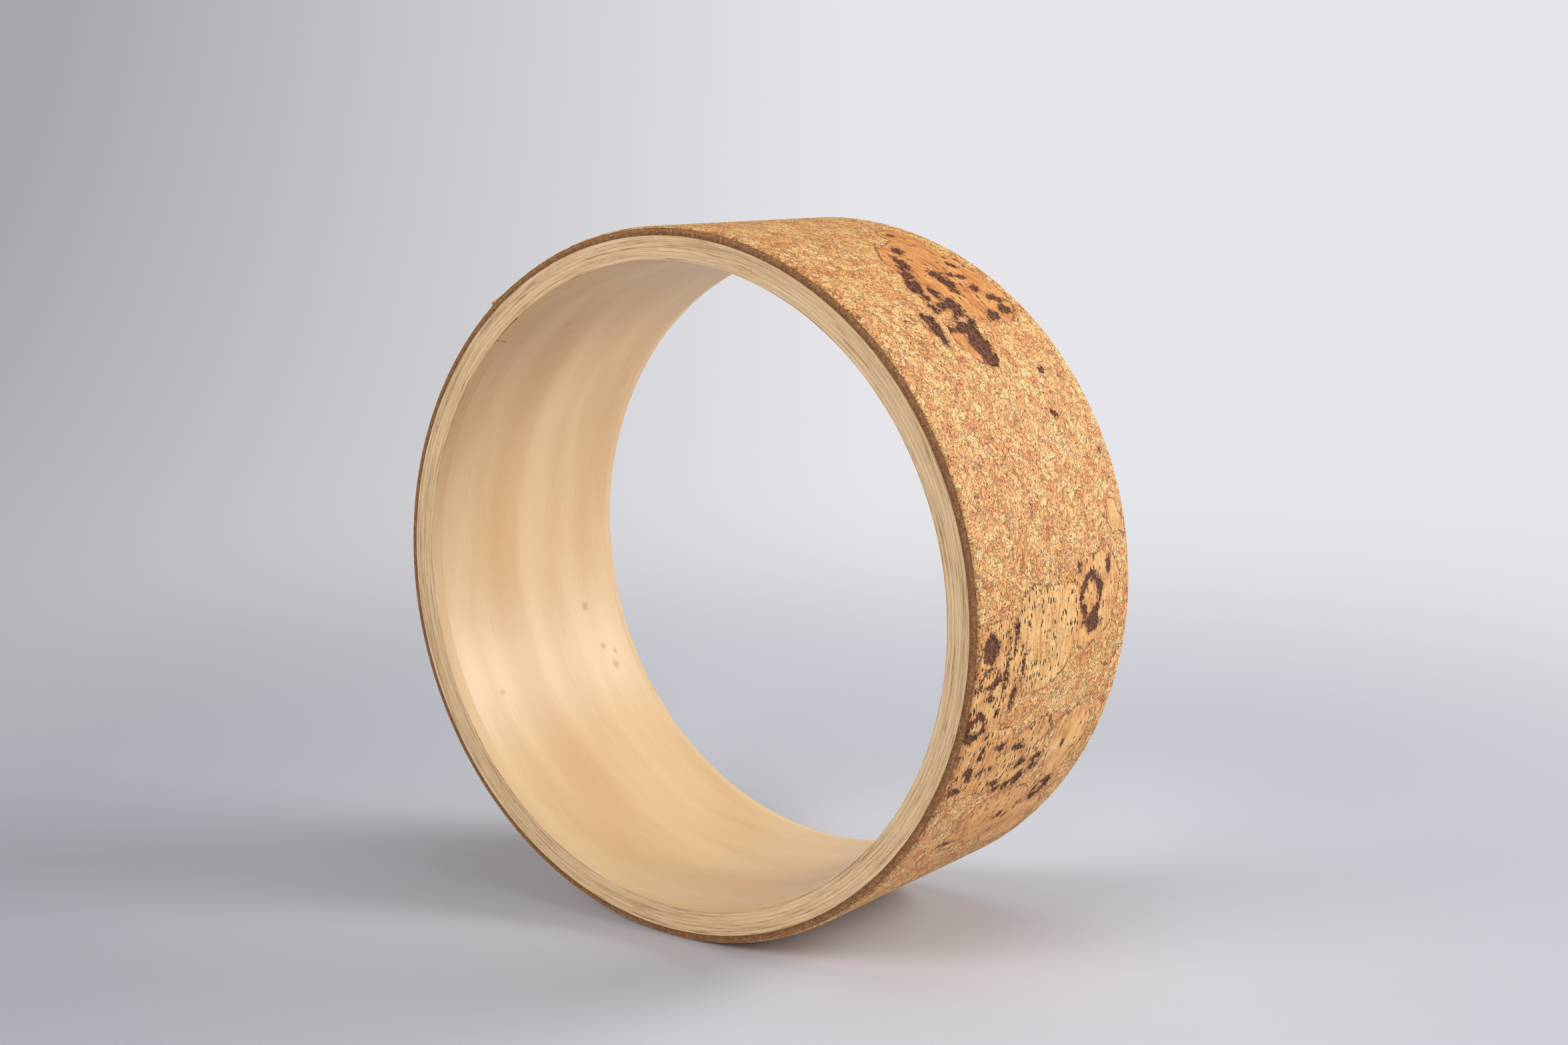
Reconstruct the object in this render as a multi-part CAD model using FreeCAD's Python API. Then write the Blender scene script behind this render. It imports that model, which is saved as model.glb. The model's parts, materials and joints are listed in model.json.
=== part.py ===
import FreeCAD
import Part
import math
import os

# Yoga and balance wheel: a hoop of bent birch veneers under a wrapped cork tread.
#
# Millimetres. The origin is the wheel's centre, +Y runs along its axle line and +Z is up, so the
# wheel stands on its tread at Z = -wheel_diameter / 2. Angles are degrees round the wheel, from +X
# towards +Z. Each veneer strip, each cork layer and each piece of bark is a solid of its own, a
# glue line away from its neighbours.

# ---- driving dimensions -------------------------------------------------------------------------

wheel_diameter = 320.0  # over the cork
wheel_width = 130.0

facing_thickness = 1.0  # decorative cork, with the bark inlays let into it
backing_thickness = 3.0  # fine brown agglomerate under it
cork_edge_radius = 3.5  # round sanded on both edges of the cork
cork_edge_flats = 2  # flats that stand for the round on the backing
cork_seam_angle = 130.5  # where the two ends of the wrapped cork meet
cork_seam_gap = 0.3

ply_thickness = 1.6
glue_line = 0.1  # between every two layers
ply_joint_gap = 0.35  # between the two ends of one veneer strip
ply_joint_angles = [133.5, 14.5, 230.0, 72.0, 318.0, 156.0, 264.0]  # from the bore outwards

bore_bevel_depth = 1.3  # radial
bore_bevel_length = 5.5  # along the axle line
feather_depth = 0.4  # the innermost veneer's end is shaved thin on its glued side
feather_length = 17.0
feather_steps = 6  # points of the shaved curve

inlay_size = 40.0  # a middling piece of bark
inlay_swell = 0.16  # how far an outline leaves its ellipse, as a share of its radius
inlay_corners = 9

# Bark inlays. angle: where on the tread. across: from the wheel's middle plane towards +Y, as a
# share of half the width. around and wide: round the tread and across it, in inlay sizes. turn:
# degrees, of the long side. lobe: degrees, where the outline swells.
inlays = [
    {"angle": 58.5, "across": 0.42, "around": 1.45, "wide": 1.60, "turn": 6, "lobe": 20},
    {"angle": 43.5, "across": 0.03, "around": 0.63, "wide": 0.48, "turn": -10, "lobe": 150},
    {"angle": -3.4, "across": -0.11, "around": 1.22, "wide": 1.15, "turn": 3, "lobe": 200},
    {"angle": 0.3, "across": 0.51, "around": 0.98, "wide": 0.94, "turn": -8, "lobe": 260},
    {"angle": -9.0, "across": -0.75, "around": 1.30, "wide": 1.00, "turn": 6, "lobe": 310},
    {"angle": -24.5, "across": 0.53, "around": 0.98, "wide": 0.72, "turn": -16, "lobe": 240},
    {"angle": -43.0, "across": 0.52, "around": 0.78, "wide": 1.02, "turn": 12, "lobe": 30},
    {"angle": -108.0, "across": 0.30, "around": 1.65, "wide": 1.00, "turn": 15, "lobe": 280},
    {"angle": -156.0, "across": -0.35, "around": 1.20, "wide": 1.25, "turn": 30, "lobe": 60},
    {"angle": 162.0, "across": 0.42, "around": 1.50, "wide": 0.90, "turn": -10, "lobe": 340},
]

# ---- sizes worked out from them -----------------------------------------------------------------

tread_radius = wheel_diameter / 2
facing_inner_radius = tread_radius - facing_thickness
backing_outer_radius = facing_inner_radius - glue_line
backing_inner_radius = backing_outer_radius - backing_thickness
ply_pitch = ply_thickness + glue_line
bore_radius = backing_inner_radius - ply_pitch * len(ply_joint_angles)
half_width = wheel_width / 2
cork_flat = half_width - cork_edge_radius  # where the tread's flat ends and the round begins
round_foot = tread_radius - cork_edge_radius  # where the round meets the cork's side

centre = FreeCAD.Vector(0, 0, 0)
spin_axis = FreeCAD.Vector(0, -1, 0)  # turning about it carries +X towards +Z


# ---- helpers ------------------------------------------------------------------------------------


def at(radius, across):
    """A point of the wheel's section, in the half plane of angle 0."""
    return FreeCAD.Vector(radius, across, 0)


def outline(points):
    """A closed face through points."""
    edges = []
    for start, end in zip(points, points[1:] + points[:1]):
        edges.append(Part.LineSegment(start, end).toShape())
    return Part.Face(Part.Wire(edges))


def layer_section(inner, thickness, turned_profile):
    """What the turned profile leaves of a layer as wide as the wheel."""
    outer = inner + thickness
    layer = outline(
        [at(inner, -half_width), at(outer, -half_width), at(outer, half_width), at(inner, half_width)]
    )
    return layer.common(turned_profile).Faces[0]


def wrap(face, joint_angle, joint_gap, radius):
    """Bends a strip of that section once round the wheel, its ends a gap apart at joint_angle."""
    gap_angle = math.degrees(joint_gap / radius)
    ring = face.revolve(centre, spin_axis, 360 - gap_angle)
    ring.rotate(centre, spin_axis, joint_angle + gap_angle / 2)
    return ring


# ---- the birch hoop -----------------------------------------------------------------------------


def hoop_profile():
    """The hoop as turned after gluing, bevelled towards the bore at both sides."""
    bevel_end = half_width - bore_bevel_length
    bevel_foot = bore_radius + bore_bevel_depth
    outside = backing_inner_radius
    return outline(
        [
            at(bore_radius, -bevel_end),
            at(bevel_foot, -half_width),
            at(outside, -half_width),
            at(outside, half_width),
            at(bevel_foot, half_width),
            at(bore_radius, bevel_end),
        ]
    )


def feather_wedge():
    """What is shaved off the outside of the innermost veneer, thickest at the strip's end."""
    outer = bore_radius + ply_thickness
    spread = feather_length / outer
    shaved = []
    for step in range(feather_steps + 1):
        share = step / feather_steps
        radius = outer - feather_depth * (1 - share)
        turned = spread * share
        shaved.append(FreeCAD.Vector(radius * math.cos(turned), 0, radius * math.sin(turned)))
    curve = Part.BSplineCurve()
    curve.interpolate(Points=shaved)
    clear = outer + feather_depth
    start = FreeCAD.Vector(clear, 0, 0)
    middle = FreeCAD.Vector(clear * math.cos(spread / 2), 0, clear * math.sin(spread / 2))
    end = FreeCAD.Vector(clear * math.cos(spread), 0, clear * math.sin(spread))
    edges = [
        curve.toShape(),
        Part.LineSegment(shaved[-1], end).toShape(),
        Part.Arc(end, middle, start).toShape(),
        Part.LineSegment(start, shaved[0]).toShape(),
    ]
    wedge = Part.Face(Part.Wire(edges)).extrude(FreeCAD.Vector(0, wheel_width, 0))
    wedge.translate(FreeCAD.Vector(0, -half_width, 0))
    wedge.rotate(centre, spin_axis, ply_joint_angles[0] - math.degrees(spread))
    return wedge


def birch_plies():
    """One strip for each joint angle, from the bore outwards, as {node name: solid}."""
    profile = hoop_profile()
    plies = {}
    for number, joint_angle in enumerate(ply_joint_angles):
        inner = bore_radius + number * ply_pitch
        face = layer_section(inner, ply_thickness, profile)
        plies[f"birch_ply_{number + 1}"] = wrap(face, joint_angle, ply_joint_gap, inner)
    plies["birch_ply_1"] = plies["birch_ply_1"].cut(feather_wedge())
    return plies


# ---- the cork tread -----------------------------------------------------------------------------


def on_round(radius):
    """How far across the wheel the sanded round stands at that radius."""
    above_foot = max(radius - round_foot, 0)
    return cork_flat + math.sqrt(cork_edge_radius**2 - above_foot**2)


def cork_backing():
    """The brown layer, its outer corners in flats that follow the round sanded after gluing."""
    lowest = max(round_foot, backing_inner_radius)
    radii = {backing_inner_radius}
    for step in range(cork_edge_flats + 1):
        share = math.sin(math.pi / 2 * step / cork_edge_flats)
        radii.add(lowest + (backing_outer_radius - lowest) * share)
    near_side = [at(radius, -on_round(radius)) for radius in sorted(radii)]
    far_side = [at(radius, on_round(radius)) for radius in sorted(radii, reverse=True)]
    face = outline(near_side + far_side)
    return wrap(face, cork_seam_angle, cork_seam_gap, backing_inner_radius)


def plain_facing():
    """The decorative layer before its inlays, bevelled to carry the round on to the tread."""
    reach = on_round(facing_inner_radius)
    face = outline(
        [
            at(facing_inner_radius, -reach),
            at(tread_radius, -cork_flat),
            at(tread_radius, cork_flat),
            at(facing_inner_radius, reach),
        ]
    )
    return wrap(face, cork_seam_angle, cork_seam_gap, facing_inner_radius)


def inlay_punch(inlay):
    """A straight radial punch with the angular outline of a chip broken from bark."""
    turn = math.radians(inlay["turn"])
    lobe = math.radians(inlay["lobe"])
    corners = []
    for k in range(inlay_corners):
        angle = 2 * math.pi * k / inlay_corners
        swell = 1 + inlay_swell * (math.cos(2 * angle + lobe) + math.cos(3 * angle - lobe)) / 2
        along = inlay_size * inlay["around"] / 2 * swell * math.cos(angle)
        sideways = inlay_size * inlay["wide"] / 2 * swell * math.sin(angle)
        arc = along * math.cos(turn) - sideways * math.sin(turn)
        across = inlay["across"] * half_width + along * math.sin(turn) + sideways * math.cos(turn)
        height = tread_radius * math.sin(arc / tread_radius)
        corners.append(FreeCAD.Vector(tread_radius / 2, across, height))
    punch = outline(corners).extrude(FreeCAD.Vector(tread_radius, 0, 0))
    punch.rotate(centre, spin_axis, inlay["angle"])
    return punch


def facing_and_inlays():
    """The facing with its pockets, and the bark that fills them."""
    facing = plain_facing()
    bark = []
    for inlay in inlays:
        punch = inlay_punch(inlay)
        bark.extend(facing.common(punch).Solids)
        facing = facing.cut(punch)
    return facing, Part.Compound(bark)


# ---- build --------------------------------------------------------------------------------------


def main():
    os.makedirs("parts", exist_ok=True)
    nodes = birch_plies()
    nodes["cork_backing"] = cork_backing()
    nodes["cork_facing"], nodes["bark_inlays"] = facing_and_inlays()
    for name, shape in nodes.items():
        shape.exportStep(f"parts/{name}.step")
        print(f"{name}: {len(shape.Solids)} solids, {shape.Volume / 1000:.2f} cm3, {shape.isValid()}")


main()
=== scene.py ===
import json
import math

import bpy
import numpy as np
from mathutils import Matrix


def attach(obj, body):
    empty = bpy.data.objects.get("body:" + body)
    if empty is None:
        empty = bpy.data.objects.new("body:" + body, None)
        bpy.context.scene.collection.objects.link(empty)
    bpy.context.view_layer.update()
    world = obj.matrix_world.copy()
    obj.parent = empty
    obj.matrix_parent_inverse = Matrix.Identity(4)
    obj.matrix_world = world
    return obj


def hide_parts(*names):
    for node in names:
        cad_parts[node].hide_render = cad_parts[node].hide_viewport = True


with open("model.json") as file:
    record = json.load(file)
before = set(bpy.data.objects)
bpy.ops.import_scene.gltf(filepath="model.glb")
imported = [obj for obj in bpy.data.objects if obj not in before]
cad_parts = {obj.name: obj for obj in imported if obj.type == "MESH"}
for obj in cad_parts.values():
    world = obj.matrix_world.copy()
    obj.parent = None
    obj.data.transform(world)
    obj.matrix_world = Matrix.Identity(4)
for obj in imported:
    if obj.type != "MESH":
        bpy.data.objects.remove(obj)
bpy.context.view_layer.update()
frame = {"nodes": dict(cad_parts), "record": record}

# Balance wheel: bent birch hoop, brown cork backing and a facing of curled cork shavings with bark
# let into it. Sizes are millimetres until a mesh is made. Angles are degrees round the wheel, from
# +X towards +Z. Across is measured from the front side, 0, to the back side, 130.

wheel = {"treadRadius": 160.0, "width": 130.0, "seamAngle": 130.5, "seamGap": 0.3, "edgeRound": 3.5}
halfWidth = wheel["width"] / 2
perMetre = 1000  # millimetres
print("frame loaded:", sorted(frame["nodes"]))


# shader maths


class Signal:
    # a socket that can be added, multiplied and so on

    def __init__(self, tree, socket=None):
        self.tree = tree
        self.socket = socket

    def node(self, kind, settings, inputs, output=0):
        made = self.tree.nodes.new(kind)
        for name, value in settings.items():
            if name == "stops":
                fillRamp(made.color_ramp, value)
            else:
                setattr(made, name, value)
        for name, value in inputs.items():
            if isinstance(value, Signal):
                self.tree.links.new(value.socket, made.inputs[name])
            else:
                made.inputs[name].default_value = value
        return Signal(self.tree, made.outputs[output] if made.outputs else None)

    def out(self, name):
        # another output of the node that made this one
        return Signal(self.tree, self.socket.node.outputs[name])

    def __add__(self, other):
        return maths("ADD", self, other)

    def __radd__(self, other):
        return maths("ADD", other, self)

    def __sub__(self, other):
        return maths("SUBTRACT", self, other)

    def __rsub__(self, other):
        return maths("SUBTRACT", other, self)

    def __mul__(self, other):
        return maths("MULTIPLY", self, other)

    def __rmul__(self, other):
        return maths("MULTIPLY", other, self)

    def __truediv__(self, other):
        return maths("DIVIDE", self, other)


def anySignal(*parts):
    return next(part for part in parts if isinstance(part, Signal))


def maths(operation, *values):
    return anySignal(*values).node("ShaderNodeMath", {"operation": operation}, dict(enumerate(values)))


def fillRamp(ramp, stops):
    while len(ramp.elements) < len(stops):
        ramp.elements.new(1.0)
    for element, (position, colour) in zip(ramp.elements, stops):
        element.position = position
        element.color = colour


def paint(red, green, blue):
    # a swatch as it looks on screen, 0 to 255, as the linear colour that the shader wants
    def linear(level):
        level = level / 255
        return level / 12.92 if level <= 0.04045 else ((level + 0.055) / 1.055) ** 2.4

    return (linear(red), linear(green), linear(blue), 1.0)


def newMaterial(name):
    material = bpy.data.materials.new(name)
    material.use_nodes = True
    material.node_tree.nodes.clear()
    return material, Signal(material.node_tree)


def finishMaterial(start, colour, roughness, height, bump, gloss):
    # bump: its strength, and its depth in metres
    bumped = start.node("ShaderNodeBump", {}, {"Height": height, "Strength": bump[0], "Distance": bump[1]})
    sockets = {"Base Color": colour, "Roughness": roughness, "Specular IOR Level": gloss, "Normal": bumped}
    shader = start.node("ShaderNodeBsdfPrincipled", {}, sockets)
    start.node("ShaderNodeOutputMaterial", {}, {"Surface": shader})


def step(value, low, high):
    # 0 below low, 1 above high, smooth between
    inputs = {"Value": value, "From Min": low, "From Max": high, "To Min": 0.0, "To Max": 1.0}
    return value.node("ShaderNodeMapRange", {"interpolation_type": "SMOOTHSTEP"}, inputs)


def blend(mask, under, over, kind="MIX"):
    settings = {"data_type": "RGBA", "blend_type": kind, "clamp_factor": True}
    return anySignal(mask, under).node("ShaderNodeMix", settings, {0: mask, 6: under, 7: over}, 2)


def tint(value, stops):
    return value.node("ShaderNodeValToRGB", {"stops": stops}, {"Fac": value})


def join(x, y, z):
    return anySignal(x, y, z).node("ShaderNodeCombineXYZ", {}, {0: x, 1: y, 2: z})


def split(vector):
    x = vector.node("ShaderNodeSeparateXYZ", {}, {0: vector})
    return x, x.out(1), x.out(2)


def vectors(operation, first, second, output=0):
    return first.node("ShaderNodeVectorMath", {"operation": operation}, {0: first, 1: second}, output)


def noise(vector, scale, detail=2.0, rough=0.5, output=0):
    inputs = {"Vector": vector, "Scale": scale, "Detail": detail, "Roughness": rough}
    return vector.node("ShaderNodeTexNoise", {}, inputs, output)


def cells(vector, scale):
    # distance from each cell's middle, and three random values for each cell
    distance = vector.node("ShaderNodeTexVoronoi", {}, {"Vector": vector, "Scale": scale})
    return distance, split(distance.out("Color"))


def cellEdges(vector, scale):
    inputs = {"Vector": vector, "Scale": scale}
    return vector.node("ShaderNodeTexVoronoi", {"feature": "DISTANCE_TO_EDGE"}, inputs)


def magnitude(value):
    return maths("ABSOLUTE", value)


def warp(vector, scale, amount, detail=2.0):
    # pushes a pattern about, by up to amount each way
    push = vectors("SUBTRACT", noise(vector, scale, detail, output=1), (0.5, 0.5, 0.5))
    return vectors("ADD", vector, vectors("MULTIPLY", push, (amount * 2, amount * 2, amount * 2)))


# objects


def newObject(name, data):
    item = bpy.data.objects.new(name, data)
    bpy.context.scene.collection.objects.link(item)
    return item


def newMesh(name, vertices, faces, material):
    mesh = bpy.data.meshes.new(name)
    mesh.from_pydata(vertices, [], faces)
    mesh.shade_smooth()
    mesh.materials.append(material)
    return mesh


def inMetres(*place):
    return tuple(part / perMetre for part in place)


# camera and light

view = {"place": (0.62127, -0.82378, 0.19880), "yaw": 36.315, "pitch": -9.741, "lens": 51.98, "film": 36.0}


def makeCamera():
    data = bpy.data.cameras.new("camera")
    data.lens = view["lens"]
    data.sensor_width = view["film"]
    camera = newObject("camera", data)
    camera.location = view["place"]
    camera.rotation_euler = (math.radians(90 + view["pitch"]), 0, math.radians(view["yaw"]))
    bpy.context.scene.camera = camera


# power in watts; every lamp points at the wheel
lamps = {
    "key": {"place": (1.25, 1.13, 0.66), "size": (1.0, 1.0), "power": 34.0, "colour": (1.0, 0.992, 0.978)},
    "overhead": {"place": (0.25, 0.1, 1.9), "size": (1.2, 1.2), "power": 7.0, "colour": (1.0, 1.0, 1.0)},
    "front": {"place": (-0.35, -1.9, 1.1), "size": (1.4, 1.0), "power": 27.0, "colour": (1.0, 0.99, 0.98)},
}
room = {"colour": (0.96, 0.975, 1.0, 1.0), "strength": 0.18}


def makeLights():
    for name, lamp in lamps.items():
        data = bpy.data.lights.new(name, "AREA")
        data.shape = "RECTANGLE"
        data.size, data.size_y = lamp["size"]
        data.energy = lamp["power"]
        data.color = lamp["colour"]
        light = newObject(name, data)
        light.location = lamp["place"]
        light.rotation_euler = (-light.location).to_track_quat("-Z", "Y").to_euler()
        light.visible_camera = False
    world = bpy.data.worlds.new("room")
    world.use_nodes = True
    background = world.node_tree.nodes["Background"]
    background.inputs["Color"].default_value = room["colour"]
    background.inputs["Strength"].default_value = room["strength"]
    bpy.context.scene.world = world


# a dish: flat where the wheel stands, rising smoothly all round
studio = {
    "flat": 0.75, "rise": 1.25, "reach": 1.9, "rings": 48, "spokes": 96,
    "floor": [(0.30, 187), (0.48, 212), (0.60, 211), (0.76, 183)],  # grey from left to right, painted light: darker at the left and right, lightest in the middle
    # painted glow of the wall: darker at the left, lighter to the right
    "wall": [(0.10, 168), (0.34, 205), (0.55, 230), (0.90, 229)],
    "wallFrom": 0.20, "wallTo": 1.10,  # distance over which the floor gives way to the wall
    "aside": (0.403, 0.296),  # from left to right, as shares of x and y
    "floorCool": (-3, -1, 7), "wallCool": (0, -1, 4),  # added to each grey
}


def greys(value, stops, cool):
    return tint(value, [(position, paint(*(level + shift for shift in cool))) for position, level in stops])


def mixPaintedWallGlow(start, away, colour):
    # the wall shows a painted pale grey glow to the camera and in gloss, darker at the left and lighter to
    # the right, and adds no light to the wheel
    output = next(node for node in start.tree.nodes if node.type == "OUTPUT_MATERIAL")
    paperWithPaintedFalloff = Signal(start.tree, output.inputs["Surface"].links[0].from_socket)
    camera = start.node("ShaderNodeLightPath", {}, {}, "Is Camera Ray")
    seen = maths("MINIMUM", camera + camera.out("Is Glossy Ray") + camera.out("Is Transmission Ray"), 1.0)
    glow = start.node("ShaderNodeEmission", {}, {"Color": colour, "Strength": 1.0})
    factor = step(away, studio["wallFrom"], studio["wallTo"]) * seen
    mixed = start.node("ShaderNodeMixShader", {}, {0: factor, 1: paperWithPaintedFalloff, 2: glow})
    start.tree.links.new(mixed.socket, output.inputs["Surface"])


def backdropMaterial():
    material, start = newMaterial("paperBackdrop")
    place = start.node("ShaderNodeTexCoord", {}, {}, "Object")
    x, y = split(place)[:2]
    aside = x * studio["aside"][0] + y * studio["aside"][1] + 0.5
    fibre = noise(place, 900.0, 3.0)
    # painted light: the floor's grey is darker at the left and right, lightest in the middle
    paperWithPaintedFalloff = greys(aside, studio["floor"], studio["floorCool"])
    finishMaterial(start, paperWithPaintedFalloff, 0.8, fibre, (0.05, 0.0002), gloss=0.2)
    # the wall's painted glow, darker at the left and lighter to the right
    mixPaintedWallGlow(start, maths("SQRT", x * x + y * y), greys(aside, studio["wall"], studio["wallCool"]))
    return material


def makeStudio(material):
    floorHeight = -wheel["treadRadius"] / perMetre
    vertices = [(0.0, 0.0, floorHeight)]
    for ring in range(1, studio["rings"] + 1):
        away = studio["reach"] * ring / studio["rings"]
        beyond = max(away - studio["flat"], 0)
        height = studio["rise"] - math.sqrt(studio["rise"] ** 2 - min(beyond, studio["rise"]) ** 2)
        for spoke in range(studio["spokes"]):
            turn = 2 * math.pi * spoke / studio["spokes"]
            vertices.append((away * math.cos(turn), away * math.sin(turn), floorHeight + height))
    faces = []
    for spoke in range(studio["spokes"]):
        after = (spoke + 1) % studio["spokes"]
        faces.append((0, 1 + spoke, 1 + after))
        for ring in range(studio["rings"] - 1):
            inner = 1 + ring * studio["spokes"]
            outer = inner + studio["spokes"]
            faces.append((inner + spoke, outer + spoke, outer + after, inner + after))
    newObject("studioFloor", newMesh("studioFloor", vertices, faces, material))
    print("studio ready")


# bands swept round the wheel

lowBits, fewBits = 2**32 - 1, 2**16 - 1
primes = (374761393, 668265263, 974634777, 1274126177)
sharpAngle = math.radians(50)  # edges steeper than this aren't smoothed


def lattice(u, v, seed):
    # smooth value noise of two arrays, 0 to 1, the same every run
    def corner(i, j):
        # a hash of the two whole numbers and the seed
        mixed = i.astype(np.int64) * primes[0] + j.astype(np.int64) * primes[1] + seed * primes[2]
        mixed = mixed & lowBits
        mixed = ((mixed ^ (mixed >> 13)) * primes[3]) & lowBits
        return ((mixed ^ (mixed >> 16)) & fewBits) / fewBits

    i, j = np.floor(u), np.floor(v)
    s, t = u - i, v - j
    s, t = s * s * (3 - 2 * s), t * t * (3 - 2 * t)
    near = corner(i, j) * (1 - s) + corner(i + 1, j) * s
    far = corner(i, j + 1) * (1 - s) + corner(i + 1, j + 1) * s
    return near * (1 - t) + far * t


def roughened(u, v, seed, layers):
    # several sizes of that noise, -1 to 1
    total = np.zeros(np.broadcast(u, v).shape)
    weight = 0.0
    for layer in range(layers):
        share = 0.5**layer
        total += share * lattice(u * 2**layer, v * 2**layer, seed + layer)
        weight += share
    return total / weight * 2 - 1


def bandMesh(name, angles, radii, across, material):
    # a band swept round the wheel: one ring of section points for each angle, closed at both ends
    rings, points = radii.shape
    turn = np.radians(angles)[:, None]
    places = np.stack([radii * np.cos(turn), across - halfWidth, radii * np.sin(turn)], axis=-1) / perMetre
    faces = []
    for ring in range(rings - 1):
        here = ring * points
        for point in range(points):
            after = (point + 1) % points
            faces.append((here + point, here + after, here + points + after, here + points + point))
    faces.append(tuple(range(points - 1, -1, -1)))
    faces.append(tuple((rings - 1) * points + point for point in range(points)))
    mesh = newMesh(name, places.reshape(-1, 3).tolist(), faces, material)
    mesh.set_sharp_from_angle(angle=sharpAngle)
    arc = turn * wheel["treadRadius"] + 0 * radii
    unrolled = np.stack([arc, across, radii], axis=-1)
    layer = mesh.attributes.new("unrolled", "FLOAT_VECTOR", "POINT")
    layer.data.foreach_set("vector", unrolled.reshape(-1).astype(np.float32))
    return newObject(name, mesh)


def addLayer(piece, name, values):
    layer = piece.data.attributes.new(name, "FLOAT", "POINT")
    layer.data.foreach_set("value", values.reshape(-1).astype(np.float32))


def read(start, name, output="Fac"):
    return start.node("ShaderNodeAttribute", {"attribute_name": name}, {}, output)


def wrapAngles(coarse, fine, fineFrom, fineTo):
    # from one end of the wrapped cork to the other, closer together over the stretch named fine
    gap = math.degrees(wheel["seamGap"] / wheel["treadRadius"])
    here = wheel["seamAngle"] - 360 + gap / 2
    last = wheel["seamAngle"] - gap / 2
    angles = [here]
    while here < last:
        pace = fine if fineFrom < here < fineTo else coarse
        here = min(here + math.degrees(pace / wheel["treadRadius"]), last)
        angles.append(here)
    return np.array(angles)


handSanded = {"angle": 122.0, "spread": 24.0, "depth": 0.22, "pitch": 9.0, "seed": 5}


def waviness(angles):
    # the cork's outline isn't a true circle where it was sanded by hand
    hand = np.exp(-(((angles - handSanded["angle"]) / handSanded["spread"]) ** 2))
    uneven = roughened(angles[:, None] / handSanded["pitch"], np.zeros((1, 1)), handSanded["seed"], 2)[:, 0]
    return hand * handSanded["depth"] * (1 + uneven)


# cork facing

# Bark pieces. angle and across: the middle. around and wide: the size, mm. turn: degrees, of the
# long side. lobe: degrees, where the outline swells. tone: 0 orange to 1 pale. dashes: how many of
# the short dark pores it has. flush: 1 where no groove runs round it.
barkFields = ("angle", "across", "around", "wide", "turn", "lobe", "tone", "dashes", "flush")
barkRows = [
    (58.5, 92.3, 58, 64, 6, 20, 0.12, 0.35, 0),
    (43.5, 67.0, 25, 19, -10, 150, 0.0, 0.3, 0),
    (-3.4, 57.9, 49, 46, 3, 200, 0.9, 0.75, 0),
    (0.3, 98.2, 39, 37.6, -8, 260, 0.6, 0.5, 0),
    (-9.0, 16.3, 52, 40, 6, 310, 0.7, 0.85, 0),
    (-24.5, 99.5, 39, 28.8, -16, 240, 0.75, 0.1, 0),
    (-43.0, 98.8, 31, 41, 12, 30, 0.5, 0.05, 0),
    (-108.0, 84.5, 66, 40, 15, 280, 0.6, 0.6, 0),
    (-156.0, 42.3, 48, 50, 30, 60, 0.8, 0.4, 0),
    (162.0, 92.3, 60, 36, -10, 340, 0.3, 0.5, 0),
    (72.0, 109.0, 17, 20, 0, 90, 0.05, 0.0, 1),
    (11.5, 117.0, 16, 13, -30, 40, 0.6, 0.0, 1),
    (-23.5, 52.0, 30, 52, -14, 100, 0.6, 0.9, 1),
    (-21.5, 23.0, 36, 38, 10, 200, 0.5, 0.8, 1),
    (-37.0, 64.0, 32, 62, 4, 20, 0.35, 0.35, 1),
]
barkPieces = [dict(zip(barkFields, row)) for row in barkRows]

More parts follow.
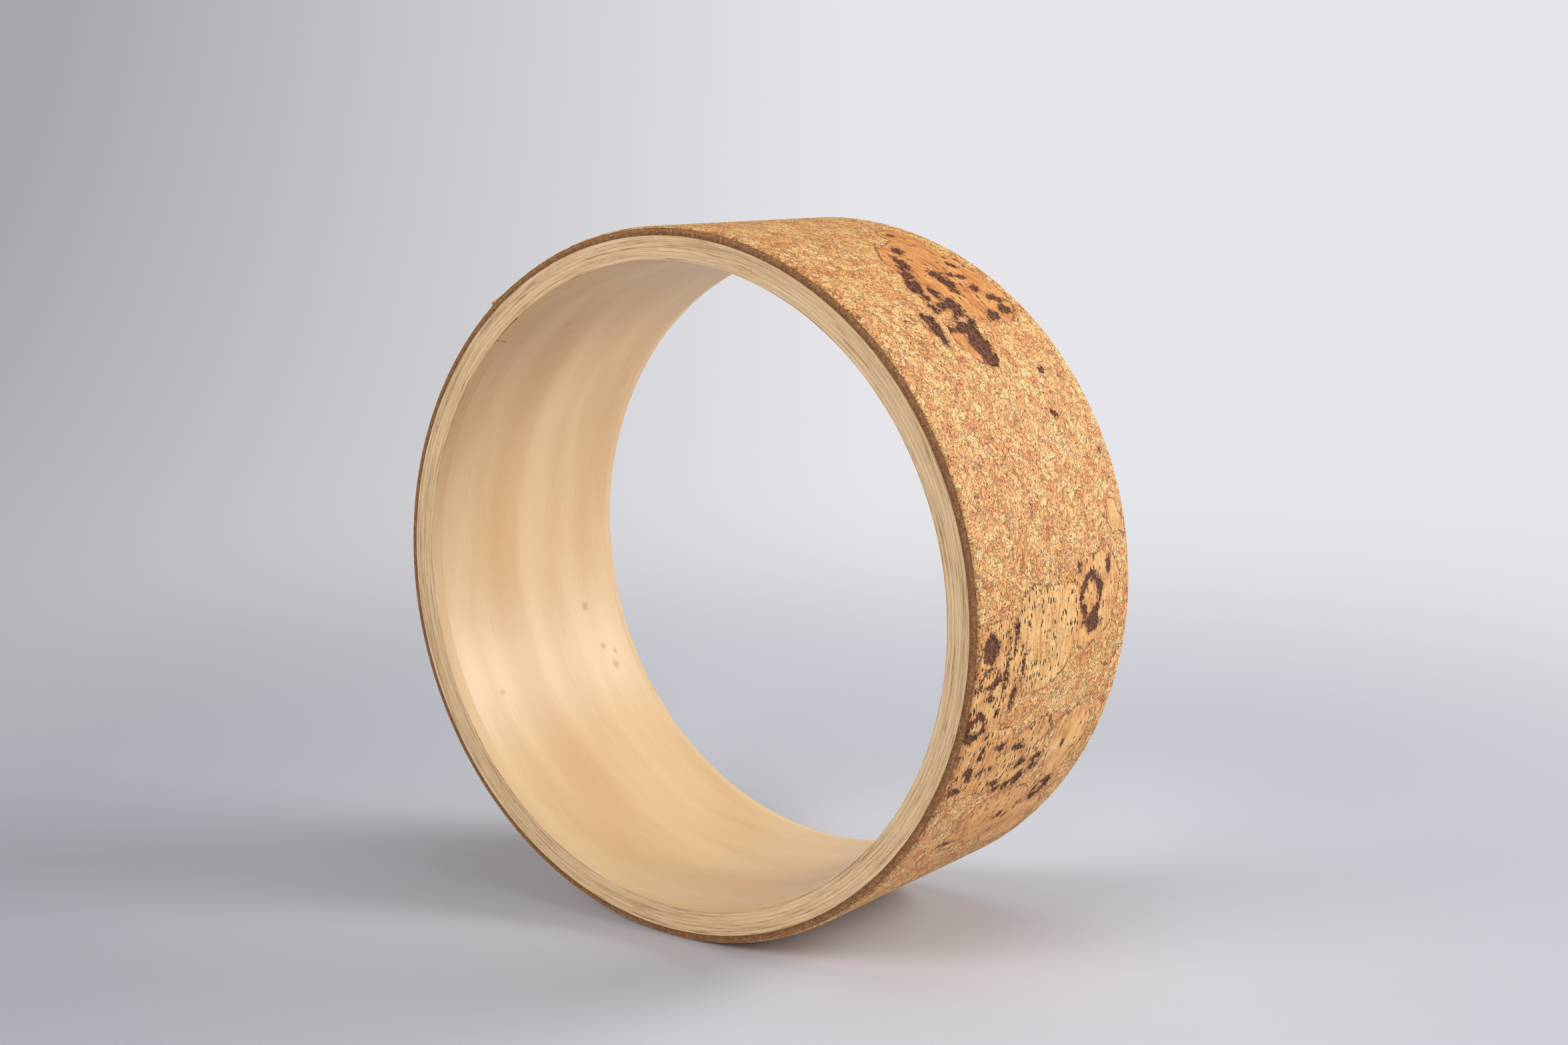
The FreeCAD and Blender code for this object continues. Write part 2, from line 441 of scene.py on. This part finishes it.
# Dark marks in the bark: across, angle, size round the wheel, size across, turn, ring (1: hollow).
darkMarks = [
    (75.7, 63.3, 11, 8, 20, 0), (70, 61.5, 6, 4, 0, 0), (67, 60, 9, 7, 20, 0), (62, 56.7, 10, 10, -30, 0),
    (66, 58, 4, 6, 0, 0), (71, 55, 9, 5, 10, 0), (66.8, 52, 6, 5, 0, 0), (59.6, 51.6, 7, 6, 0, 0),
    (62, 54.2, 6, 5, 0, 0), (75, 51.6, 12, 10, 0, 0), (73, 48.6, 10, 13, 0, 1), (71.5, 46.3, 12, 11, 0, 0),
    (70.5, 43.6, 14, 15, 0, 0), (71, 40.9, 10, 11, 10, 0), (48, 49.3, 8, 9, 20, 0), (47, 47.2, 10, 9, -20, 0),
    (47, 45.2, 7, 6, 0, 0), (58, 47.3, 4, 4, 0, 0), (64, 46.6, 4, 7, 20, 0),
    (88.6, 59.3, 7, 10, 30, 0), (87.4, 57.8, 7, 5, 0, 0), (90.8, 56.6, 6, 7, 0, 0), (88.3, 55.2, 6, 6, 0, 0),
    (103, 58.5, 3, 9, 10, 0), (97, 59.2, 3, 8, 0, 0), (109.7, 61.6, 4, 5, 0, 0), (104.3, 55.2, 5, 8, 0, 0),
    (111.8, 52.4, 5, 9, 20, 0), (98.5, 48.8, 6, 10, 0, 0), (111.6, 49.9, 6, 9, 0, 0), (105, 73.4, 4, 6, 0, 0),
    (87, 67.2, 9, 5, 60, 0), (104, 37.5, 4, 4, 30, 0), (95, 29.9, 4, 5, 40, 0), (121, 22.7, 5, 3, 20, 0),
    (93, 0.8, 21, 20, 0, 1), (95, -3.6, 7, 15, 8, 0), (109, 5.0, 8, 3.4, 10, 0), (84, 5.6, 5, 3, 0, 0),
    (11, -2.6, 13, 12, 10, 0), (11, -7.2, 10, 15, 0, 1), (7, -14.5, 12, 16, 0, 1), (14, -10.2, 4, 6, 20, 0),
    (25, -3.6, 10, 2.4, 5, 0), (31, -1.2, 12, 3, 0, 0), (24, -7.5, 12, 3, 0, 0), (38, -6.0, 12, 2.6, 0, 0),
    (33, -11.5, 13, 3, 8, 0), (22, -13.3, 4, 3, 0, 0), (30, -3.8, 5, 3, 0, 0),
    (19, -19.8, 7, 4, 20, 0), (35, -19.8, 4, 8, 0, 0), (51, -21.2, 3, 9, 10, 0), (24, -23.6, 4, 6, 0, 0),
    (32, -23.8, 4, 4, 0, 0), (60, -25, 5, 8, 0, 0), (73, -25.3, 4, 9, -10, 0), (75, -27.2, 3.4, 8, 0, 0),
    (65, -28.4, 7, 9, 0, 0), (43, -27.4, 4, 8, 20, 0), (48, -29, 4, 6, 0, 0), (57, -29, 5, 6, 0, 0),
    (8, -25.5, 5, 10, 0, 0), (14, -23, 6, 8, 30, 0), (96, -24.5, 5, 3, 0, 0), (99.5, -34.3, 12, 13, 0, 1),
    (36, -39.6, 3, 11, 0, 0), (73, -37.4, 5, 6, 0, 0), (81, -38.4, 3, 4, 0, 0), (87, -36.2, 3, 4, 0, 0),
    (90, -112, 16, 15, 10, 1), (80, -104, 12, 6, 20, 0), (44, -158, 18, 16, 0, 1), (37, -150, 10, 5, 10, 0),
    (90, 168, 15, 12, 0, 0), (98, 158, 14, 5, 0, 0), (30, -80, 10, 8, 0, 1), (104, -135, 8, 8, 0, 0),
    (28, 175, 9, 9, 0, 1), (70, -178, 8, 5, 0, 0),
]

facing = {
    "foot": 159.0,  # radius of its glued side
    "columns": 106, "coarse": 1.75, "fine": 0.86, "fineFrom": -50.0, "fineTo": 92.0,
    "inset": 1.05,  # of the outermost columns from the wheel's sides
    "grain": 0.10, "groove": 0.22, "grooveReach": 0.9, "pit": 0.45,  # depths, mm
    "seamLift": 1.5, "seamLiftReach": 5.0,  # how proud the end of the wrap is, and how far back
    "ragged": 2.4, "raggedFlush": 4.5,  # how far the bark's outlines wander
    "farOutside": -9.0, "farFromMarks": -6.0,  # distances where there is no bark, and no mark
    "roundFrom": 62.6, "roundTo": 64.0,  # distance from the middle where the sanded round darkens
}


def localPlace(arc, across, item):
    # distances from a piece's middle, along its own long side and square to it
    whole = 2 * math.pi * wheel["treadRadius"]
    u = arc - math.radians(item["angle"]) * wheel["treadRadius"]
    u = (u + whole / 2) % whole - whole / 2
    v = across - item["across"]
    turn = math.radians(item["turn"])
    return u * math.cos(turn) + v * math.sin(turn), -u * math.sin(turn) + v * math.cos(turn)


def barkDistance(arc, across, item):
    # millimetres inside the ragged outline, below 0 outside it
    along, sideways = localPlace(arc, across, item)
    size = (item["around"] + item["wide"]) / 4
    p, q = along / (item["around"] / 2), sideways / (item["wide"] / 2)
    turn = np.arctan2(q, p)
    lobe = math.radians(item["lobe"])
    swell = 1 + 0.08 * (np.cos(2 * turn + lobe) + np.cos(3 * turn - lobe))
    ragged = facing["raggedFlush" if item["flush"] else "ragged"] * roughened(arc / 8, across / 8, 31, 3)
    squared = (np.abs(p) ** 3 + np.abs(q) ** 3) ** (1 / 3)
    return (swell - squared) * size + ragged


def markDistance(arc, across, mark):
    place, angle, around, wide, turn, ring = mark
    item = {"angle": angle, "across": place, "turn": turn}
    along, sideways = localPlace(arc, across, item)
    out = np.hypot(along / (around / 2), sideways / (wide / 2))
    size = min(around, wide) / 2
    if ring:
        uneven = roughened(arc / 6, across / 6, 19, 2)
        return 1.6 + 1.6 * uneven - np.abs(out - 0.8 - 0.15 * roughened(arc / 4, across / 4, 23, 2)) * size
    return (1 - out) * size


def makeFacing(material):
    angles = wrapAngles(facing["coarse"], facing["fine"], facing["fineFrom"], facing["fineTo"])
    across = np.linspace(facing["inset"], wheel["width"] - facing["inset"], facing["columns"])
    beyond = np.maximum(np.abs(across - halfWidth) - (halfWidth - wheel["edgeRound"]), 0)
    fall = wheel["edgeRound"] - np.sqrt(wheel["edgeRound"] ** 2 - beyond**2)
    arc = np.radians(angles)[:, None] * wheel["treadRadius"] + 0 * across
    side = across[None, :] + 0 * arc
    bark = np.full(arc.shape, facing["farOutside"])
    groove = np.zeros(arc.shape)
    tone = np.zeros(arc.shape)
    dashes = np.zeros(arc.shape)
    for item in barkPieces:
        inside = barkDistance(arc, side, item)
        chosen = inside > bark
        tone[chosen] = item["tone"]
        dashes = np.maximum(dashes, item["dashes"] * np.clip(inside / 3 + 0.4, 0, 1))
        if not item["flush"]:
            groove = np.maximum(groove, np.clip(1 - np.abs(inside) / facing["grooveReach"], 0, 1))
        bark = np.maximum(bark, inside)
    mark = np.full(arc.shape, facing["farFromMarks"])
    for item in darkMarks:
        mark = np.maximum(mark, markDistance(arc, side, item))
    mark = mark + 1.5 * roughened(arc / 2.4, side / 2.4, 77, 2)
    pit = np.clip(mark / 1.5, 0, 1)
    grainy = np.clip(1 - bark / 2, 0.25, 1) * (0.5 + 0.5 * roughened(arc / 1.9, side / 1.9, 11, 2))
    sunk = facing["grain"] * grainy + facing["groove"] * groove + facing["pit"] * pit
    toSeam = np.radians(angles[-1] - angles) * wheel["treadRadius"]
    lift = facing["seamLift"] * np.exp(-toSeam / facing["seamLiftReach"])
    inward = halfWidth - np.abs(side - halfWidth)
    outer = wheel["treadRadius"] - fall - sunk * np.clip(inward / 4, 0.3, 1)
    outer = outer - waviness(angles)[:, None] + lift[:, None]
    foot = np.full((len(angles), 2), facing["foot"]) - waviness(angles)[:, None]
    radii = np.concatenate([outer, foot + np.minimum(lift[:, None], 0.3)], axis=1)
    sides = np.concatenate([side, side[:, [-1, 0]]], axis=1)
    piece = bandMesh("corkFacing", angles, radii, sides, material)
    for name, values in {"bark": bark, "tone": tone, "dashes": dashes, "mark": mark}.items():
        addLayer(piece, name, np.concatenate([values, values[:, [-1, 0]]], axis=1))
    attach(piece, "root")
    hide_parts("cork_facing", "bark_inlays")
    print("cork facing:", len(piece.data.polygons), "faces")


facingLook = {
    # shadow: the colour of painted shade in crevices, grooves and cracks
    "shadow": (92, 44, 18), "brown": (166, 96, 48), "tan": (224, 144, 84), "straw": (250, 181, 110),
    "cream": (255, 222, 152), "barkOrange": (230, 158, 90), "barkPale": (254, 206, 136),
    "dark": (34, 17, 11), "rust": (122, 66, 40),
}
flakeScale = 0.27  # flakes to a millimetre


def shavingsFace(flat, patchy, speckled, swatch):
    # each flake has a tone, and growth lines of its own direction that curl
    pushed = warp(warp(flat, 0.13, 3.4), 0.45, 1.5, 3.0)
    middle, (chipTone, chipTurn, chipPick) = cells(pushed, flakeScale)
    arc, across = split(pushed)[:2]
    direction = chipTurn * 2 * math.pi
    line = arc * maths("COSINE", direction) + across * maths("SINE", direction)
    saw = maths("FRACT", line * 0.62 + chipPick * 9.0 + (speckled - 0.5) * 1.3)
    curl = maths("FRACT", middle * 2.6 + speckled * 0.7) * step(chipPick, 0.58, 0.62)
    crumb = noise(pushed, 0.95, 4.0, 0.68)
    tone = chipTone * 0.40 + (saw - 0.5) * 0.30 + curl * 0.24 + crumb * 1.6 + (patchy - 0.5) * 0.5 - 0.50
    stops = [(0.06, swatch["brown"]), (0.26, swatch["tan"]), (0.52, swatch["straw"]), (0.82, swatch["cream"])]
    colour = tint(tone, stops)

    # thin dark lines of painted shade in the grooves along the growth, round the curls and between the flakes
    growth = (1 - step(magnitude(saw - 0.10), 0.03, 0.14)) * step(speckled, 0.44, 0.56)
    curls = (1 - step(magnitude(curl - 0.12), 0.03, 0.10)) * step(crumb, 0.42, 0.52)
    edge = (1 - step(cellEdges(pushed, flakeScale), 0.01, 0.10)) * step(crumb, 0.38, 0.52)
    lines = maths("MAXIMUM", maths("MAXIMUM", growth, curls), edge * 0.8)
    colour = blend(lines * 0.85, colour, swatch["shadow"])

    # dark crumbs
    arc, across = split(flat)[:2]
    speck, speckRandom = cells(warp(join(arc * 0.8, across, 0.0), 0.9, 0.6), 0.62)
    flecks = (1 - step(speck, 0.14, 0.34)) * step(speckRandom[2] - (patchy - 0.5) * 0.8, 0.57, 0.66)
    colour = blend(flecks * 0.9, colour, swatch["dark"])
    raised = saw * 0.4 + crumb * 1.1 + chipTone * 0.3
    return colour, raised, crumb, flecks, lines


def barkFace(start, flat, patchy, speckled, swatch):
    # long soft streaks round the wheel, and short dark pores in rows
    arc, across = split(flat)[:2]
    streak = noise(join(arc * 0.10, across * 0.6, 0.0), 1.0, 4.0, 0.6)
    cloudy = streak * 0.5 + patchy * 0.35 + speckled * 0.2
    shades = [(0.42, (0.60, 0.43, 0.30, 1)), (0.53, (0.95, 0.90, 0.82, 1)), (0.60, (1.10, 1.14, 1.18, 1))]
    colour = blend(read(start, "tone"), swatch["barkOrange"], swatch["barkPale"])
    colour = blend(1.0, colour, tint(cloudy, shades), "MULTIPLY")
    fine, fineRandom = cells(join(arc * 0.5, across * 1.9, 0.0), 1.0)
    hairs = (1 - step(fine, 0.12, 0.34)) * step(fineRandom[0], 0.60, 0.75)
    colour = blend(hairs * 0.6, colour, swatch["brown"])
    nearRim = (1 - step(read(start, "bark"), 1.0, 7.0)) * step(noise(flat, 0.16, 3.0), 0.46, 0.60)
    colour = blend(nearRim * 0.55, colour, swatch["tan"])
    pore, poreRandom = cells(warp(join(arc * 0.23, across * 0.56, 0.0), 0.9, 0.25), 1.0)
    density = read(start, "dashes") * step(patchy, 0.32, 0.52)
    pores = 1 - step(pore + (speckled - 0.5) * 0.7, 0.27, 0.34)
    pores = pores * step(density - poreRandom[0], -0.08, -0.03)
    colour = blend(pores * 0.95, colour, swatch["dark"])
    # swirling cracks in the bark, darkened with painted shade
    swirl = maths("FRACT", noise(warp(flat, 0.2, 1.5), 0.11) * 11.0)
    cracks = (1 - step(magnitude(swirl - 0.5), 0.02, 0.11)) * step(speckled, 0.45, 0.55)
    cracks = cracks * step(density, 0.3, 0.6)
    colour = blend(cracks * 0.75, colour, swatch["shadow"])
    return colour, cloudy, pores


def facingMaterial():
    material, start = newMaterial("corkShavings")
    arc, across = split(read(start, "unrolled", "Vector"))[:2]
    flat = join(arc, across, 0.0)
    swatch = {name: paint(*levels) for name, levels in facingLook.items()}
    patchy = noise(flat, 0.09, 3.0)
    speckled = noise(flat, 0.75, 3.0, 0.6)
    shavings, raised, crumb, flecks, lines = shavingsFace(flat, patchy, speckled, swatch)
    bark, cloudy, pores = barkFace(start, flat, patchy, speckled, swatch)

    # where the bark ends: a ragged edge with a brown line of painted shade along it
    ragged = read(start, "bark") + (speckled - 0.5) * 4.5
    inBark = step(ragged, -0.15, 0.2)
    colour = blend(inBark, shavings, bark)
    borderShade = (1 - step(magnitude(ragged), 0.15, 0.65)) * step(patchy, 0.38, 0.52)
    colour = blend(borderShade * 0.85, colour, swatch["shadow"])

    # knots and cracks: dark, rust in the middle, broken up at their edges
    broken = read(start, "mark") + (noise(flat, 0.38, 5.0, 0.75) - 0.5) * 8.0 + (speckled - 0.5) * 5.0
    knot = step(broken, 0.0, 0.4) * (1 - step(crumb, 0.60, 0.64) * 0.8)
    colour = blend(step(broken, -1.8, 0.4) * 0.55, colour, swatch["brown"])
    inner = step(broken, 0.5, 1.6) * step(noise(flat, 0.55, 3.0), 0.42, 0.56)
    colour = blend(knot * 0.94, colour, blend(inner, swatch["dark"], swatch["rust"]))

    # the sanded round is darker and browner
    onRound = step(magnitude(across - halfWidth), facing["roundFrom"], facing["roundTo"])
    colour = blend(onRound * 0.3, colour, swatch["brown"])

    relief = raised * (1 - inBark * 0.8) + cloudy * inBark * 0.5
    relief = relief - pores * 0.9 - knot * 1.2 - flecks * 0.7 - lines * 0.5 * (1 - inBark) - borderShade * 0.6
    roughness = 0.60 + speckled * 0.12 - inBark * 0.06 + knot * 0.2
    finishMaterial(start, colour, roughness, relief, (0.6, 0.00025), gloss=0.35)
    return material


# cork backing

backing = {
    "inside": 155.9, "outside": 158.9, "roundSteps": 6,
    "coarse": 1.1, "fine": 0.75, "fineFrom": -180.0, "fineTo": 130.0,
    "grain": 0.34, "waveFrom": 156.4,  # the outline wavers outside this radius
}


def makeBacking(material):
    angles = wrapAngles(backing["coarse"], backing["fine"], backing["fineFrom"], backing["fineTo"])
    roundFoot = wheel["treadRadius"] - wheel["edgeRound"]
    climb = [backing["inside"], (backing["inside"] + roundFoot) / 2, roundFoot]
    for k in range(1, backing["roundSteps"] + 1):
        share = math.sin(math.pi / 2 * k / backing["roundSteps"])
        climb.append(roundFoot + (backing["outside"] - roundFoot) * share)
    climb = np.array(climb)
    inward = wheel["edgeRound"] - np.sqrt(wheel["edgeRound"] ** 2 - np.maximum(climb - roundFoot, 0) ** 2)
    section = np.concatenate([climb, climb[::-1]])
    sides = np.concatenate([inward, wheel["width"] - inward[::-1]])
    arc = np.radians(angles)[:, None] * wheel["treadRadius"]
    free = np.concatenate([[0], np.ones(len(climb) - 2), [0]])
    free = np.concatenate([free, free[::-1]])[None, :]
    seed = section[None, :] + 40 * (sides[None, :] > halfWidth)
    sunk = backing["grain"] * free * (0.5 + 0.5 * roughened(arc / 1.3, seed / 1.1, 3, 2))
    facingOut = np.concatenate([np.ones(len(climb)), -np.ones(len(climb))])[None, :]
    wavers = (section > backing["waveFrom"])[None, :]
    radii = section[None, :] - sunk * 0.4 - waviness(angles)[:, None] * wavers
    across = sides[None, :] + sunk * facingOut
    piece = bandMesh("corkBacking", angles, radii, across + 0 * arc, material)
    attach(piece, "root")
    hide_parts("cork_backing")
    print("cork backing:", len(piece.data.polygons), "faces")


backingLook = {
    "deep": (100, 66, 42), "brown": (148, 104, 69), "warm": (180, 132, 89), "light": (208, 160, 112),
}
# painted shade: the backing is darker toward the wood and lighter toward the tread, across these radii
backingPaintedShade = {
    "from": 156.6, "to": 158.4,  # radii
    "inner": (0.70, 0.66, 0.62, 1.0), "outer": (1.14, 1.12, 1.08, 1.0),
}
granuleScale = 1.15  # granules to a millimetre


def backingMaterial():
    material, start = newMaterial("corkGranules")
    place = read(start, "unrolled", "Vector")
    pushed = warp(place, 0.8, 0.9, 4.0)
    granule = cells(pushed, granuleScale)[1][0]
    between = cellEdges(pushed, granuleScale)
    tone = granule * 0.34 + noise(place, 1.4, 5.0, 0.7) * 1.2 - 0.27
    swatch = {name: paint(*levels) for name, levels in backingLook.items()}
    stops = [(0.12, swatch["deep"]), (0.4, swatch["brown"]), (0.66, swatch["warm"]), (0.92, swatch["light"])]
    colour = tint(tone, stops)
    crack = (1 - step(between, 0.02, 0.12)) * 0.35
    colour = blend(crack, colour, swatch["deep"])
    # painted shade, darker toward the wood and lighter toward the tread
    nearTread = step(split(place)[2], backingPaintedShade["from"], backingPaintedShade["to"])
    shade = blend(nearTread, backingPaintedShade["inner"], backingPaintedShade["outer"])
    colour = blend(0.75, colour, shade, "MULTIPLY")
    relief = granule * 0.5 + step(between, 0.0, 0.2) * 0.6 + noise(place, 2.5, 3.0) * 0.5
    finishMaterial(start, colour, 0.82, relief, (0.6, 0.0003), gloss=0.25)
    return material


# birch hoop

hoop = {
    "bore": 144.0, "pitch": 1.7, "plyThickness": 1.6, "bevel": 5.5,
    "edgeFrom": (145.1, 145.35),  # radii over which the bore's face gives way to the sanded edge
    "edgeBand": (5.4, 5.6),  # the edge ends this far from the wheel's side
    "slitsFrom": (145.2, 145.4),
    "pale": (236, 203, 158), "honey": (212, 175, 130), "streak": (148, 108, 70),
    "slit": (86, 62, 42), "knot": (158, 98, 54),
    "borePale": (233, 201, 155), "boreTan": (213, 174, 125), "borePink": (239, 207, 164),
}

# pin knots and specks of the bore face: angle, across, radius, strength
pinKnots = [
    (196.6, 101, 3.6, 0.7), (205.5, 106, 2.8, 0.6), (209.7, 110, 4.2, 0.6), (207.0, 113, 3.0, 0.5),
    (209.0, 26, 2.4, 0.5), (130.0, 40, 2.4, 0.4), (62.0, 84, 3.5, 0.6), (-20.0, 47, 3.0, 0.6),
    (305.0, 90, 3.0, 0.5),
]


def hoopPlace(start):
    # seamless coordinates: the place projected on the bore, its radius and its distance across
    millimetres = vectors("MULTIPLY", start.node("ShaderNodeTexCoord", {}, {}, "Object"), (perMetre,) * 3)
    x, y, z = split(millimetres)
    radius = maths("SQRT", x * x + z * z)
    onBore = join(x / radius * hoop["bore"], y + halfWidth, z / radius * hoop["bore"])
    return onBore, radius, y + halfWidth


def endGrain(onBore, radius):
    # colour, height and slit mask of the sanded edges of the veneers
    x, z = split(onBore)[::2]
    swatch = {name: paint(*hoop[name]) for name in ("pale", "honey", "streak", "slit")}
    ply = (radius - hoop["bore"]) / hoop["pitch"]
    number = maths("FLOOR", ply)
    plyTone = number.node("ShaderNodeTexWhiteNoise", {"noise_dimensions": "1D"}, {"W": number + 3.5})
    long = noise(join(x / 30, radius / 0.8, z / 30), 1.0, 3.0, 0.65)
    fine = noise(join(x / 11, radius / 0.26, z / 11), 1.0, 2.0, 0.6)
    broad = noise(join(x / 70, radius / 3.0, z / 70), 1.0, 2.0)
    tone = long * 0.70 + fine * 0.62 + broad * 0.18 + (plyTone - 0.5) * 0.08
    colour = tint(tone, [(0.56, swatch["streak"]), (0.68, swatch["honey"]), (0.86, swatch["pale"])])
    slitField = noise(join(x / 13, radius / 0.6, z / 13), 1.0, 1.0)
    slit = step(slitField, 0.74, 0.78) * step(noise(onBore, 0.03, 1.0), 0.42, 0.6)
    slit = slit * step(radius, *hoop["slitsFrom"])
    fleck = step(noise(join(x / 4, radius / 0.3, z / 4), 1.0, 1.0), 0.73, 0.80)
    colour = blend(fleck * 0.5, colour, swatch["streak"])
    colour = blend(slit * 0.85, colour, swatch["slit"])
    height = long * 0.5 + fine * 0.4 - slit * 1.5
    return colour, height, slit


def edgeMaterial():
    material, start = newMaterial("birchEdge")
    colour, height, slit = endGrain(*hoopPlace(start)[:2])
    finishMaterial(start, colour, 0.55 + slit * 0.3, height, (0.35, 0.00012), gloss=0.4)
    return material


def pinKnotMask(onBore, fibre):
    spots = []
    for angle, place, size, strength in pinKnots:
        turn = math.radians(angle)
        middle = (hoop["bore"] * math.cos(turn), place, hoop["bore"] * math.sin(turn))
        away = vectors("DISTANCE", onBore, middle, 1)
        spots.append((1 - step(away + (fibre - 0.5) * 2.0, 0.0, size)) * strength * 0.75)
    mask = spots[0]
    for spot in spots[1:]:
        mask = maths("MAXIMUM", mask, spot)
    return mask


def boreMaterial():
    material, start = newMaterial("birchBore")
    onBore, radius, across = hoopPlace(start)
    x, z = split(onBore)[::2]
    swatch = {name: paint(*hoop[name]) for name in ("borePale", "boreTan", "borePink", "streak", "knot")}
    # rotary-cut face: soft bands that run round the wheel, drifting and closing into tall arches
    drift = noise(join(x / 110, across / 60, z / 110), 1.0, 2.0) * 3.0
    bands = noise(join(drift + across / 13, x / 200, z / 200), 1.0, 3.0, 0.5)
    fibre = noise(join(x / 22, across / 0.55, z / 22), 1.0, 2.0)
    broad = noise(join(x / 120, across / 26, z / 120), 1.0, 2.0)
    tone = bands * 0.25 + broad * 0.50 + (fibre - 0.5) * 0.20 + 0.125
    face = tint(tone, [(0.28, swatch["boreTan"]), (0.58, swatch["borePale"]), (0.74, swatch["borePink"])])
    # painted shade: a soft tan band round the left side of the bore, about 48 mm in from the front
    paintedShadeBand = (1 - step(magnitude(across - 48 + (broad - 0.5) * 18), 6, 17)) * step(x * -1.0, 20, 110)
    face = blend(paintedShadeBand * 0.5, face, swatch["boreTan"])
    knots = pinKnotMask(onBore, fibre)
    face = blend(knots, face, swatch["knot"])
    fleck = step(noise(join(x / 4, across / 0.5, z / 4), 1.0, 1.0), 0.77, 0.82)
    face = blend(fleck * 0.22, face, swatch["streak"])
    edge, edgeHeight = endGrain(onBore, radius)[:2]
    fromSide = halfWidth - magnitude(across - halfWidth)
    onEdge = step(radius, *hoop["edgeFrom"]) * (1 - step(fromSide, *hoop["edgeBand"]))
    colour = blend(onEdge, face, edge)
    height = edgeHeight * onEdge + (1 - onEdge) * (fibre * 0.35 + bands * 0.2 - knots)
    roughness = 0.40 + (bands - 0.5) * 0.10 + onEdge * 0.14
    finishMaterial(start, colour, roughness, height, (0.2, 0.0001), gloss=0.45)
    return material


def dressHoop():
    looks = {"birch_face": boreMaterial(), "birch_edge": edgeMaterial()}
    for part in frame["record"]["subparts"]:
        if part["material_slot"] in looks:
            for slot in frame["nodes"][part["node"]].material_slots:
                slot.material = looks[part["material_slot"]]
    print("birch hoop dressed")


# glue lines: thin amber films that show between the veneers and under the facing
glue = {
    "film": 0.09, "innermost": 145.65, "underFacing": 158.95,  # thickness and radii of the rings
    "setBack": 0.03, "roundSetBack": 1.1,  # from the wheel's sides; the second is under the sanded round
    "pace": 4.0,
    "joints": [133.5, 14.5, 230.0, 72.0, 318.0, 156.0, 264.0], "jointWidth": 0.33,
    "boreColourTo": (145.4, 145.5),  # the innermost joint looks like the bore up to here
}
glueLook = {"amber": (196, 158, 112), "dark": (150, 112, 74)}


def addRing(vertices, faces, radius, reach):
    # a closed film round the wheel
    count = int(2 * math.pi * radius / glue["pace"])
    first = len(vertices)
    for k in range(count):
        turn = 2 * math.pi * k / count
        for away, side in ((-1, -1), (1, -1), (1, 1), (-1, 1)):
            here = radius + away * glue["film"] / 2
            vertices.append(inMetres(here * math.cos(turn), side * reach, here * math.sin(turn)))
    for k in range(count):
        near, far = first + 4 * k, first + 4 * ((k + 1) % count)
        for corner in range(4):
            after = (corner + 1) % 4
            faces.append((near + corner, near + after, far + after, far + corner))


def addJoint(vertices, faces, number, angle):
    # a strip of glue between the two ends of one veneer
    inner = hoop["bore"] + number * hoop["pitch"] + glue["setBack"] / 2
    outer = hoop["bore"] + number * hoop["pitch"] + hoop["plyThickness"]
    reach = halfWidth - glue["setBack"] - (hoop["bevel"] if number == 0 else 0)
    first = len(vertices)
    for aside in (-1, 1):
        for here, side in ((inner, -reach), (outer, -reach), (outer, reach), (inner, reach)):
            turn = math.radians(angle) + aside * glue["jointWidth"] / 2 / here
            vertices.append(inMetres(here * math.cos(turn), side, here * math.sin(turn)))
    for corner in range(4):
        after = (corner + 1) % 4
        faces.append((first + corner, first + after, first + 4 + after, first + 4 + corner))
    faces.append((first + 3, first + 2, first + 1, first))
    faces.append((first + 4, first + 5, first + 6, first + 7))


def makeGlueLines(material):
    vertices, faces = [], []
    reach = halfWidth - glue["setBack"]
    for number in range(len(glue["joints"])):
        addRing(vertices, faces, glue["innermost"] + hoop["pitch"] * number, reach)
    addRing(vertices, faces, glue["underFacing"], reach - glue["roundSetBack"])
    for number, angle in enumerate(glue["joints"]):
        addJoint(vertices, faces, number, angle)
    mesh = newMesh("glueLines", vertices, faces, material)
    mesh.set_sharp_from_angle(angle=sharpAngle)
    piece = newObject("glueLines", mesh)
    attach(piece, "root")
    print("glue lines:", len(faces), "faces")


def glueMaterial():
    material, start = newMaterial("glueFilm")
    onBore, radius = hoopPlace(start)[:2]
    film = noise(onBore, 0.12, 3.0)
    colour = tint(film, [(0.4, paint(*glueLook["dark"])), (0.6, paint(*glueLook["amber"]))])
    colour = blend(step(radius, *glue["boreColourTo"]), paint(*hoop["borePale"]), colour)
    finishMaterial(start, colour, 0.5, film, (0.1, 0.0001), gloss=0.4)
    return material


# build

makeCamera()
makeLights()
makeStudio(backdropMaterial())
bpy.context.scene.view_settings.view_transform = "Standard"
dressHoop()
makeGlueLines(glueMaterial())
makeBacking(backingMaterial())
makeFacing(facingMaterial())
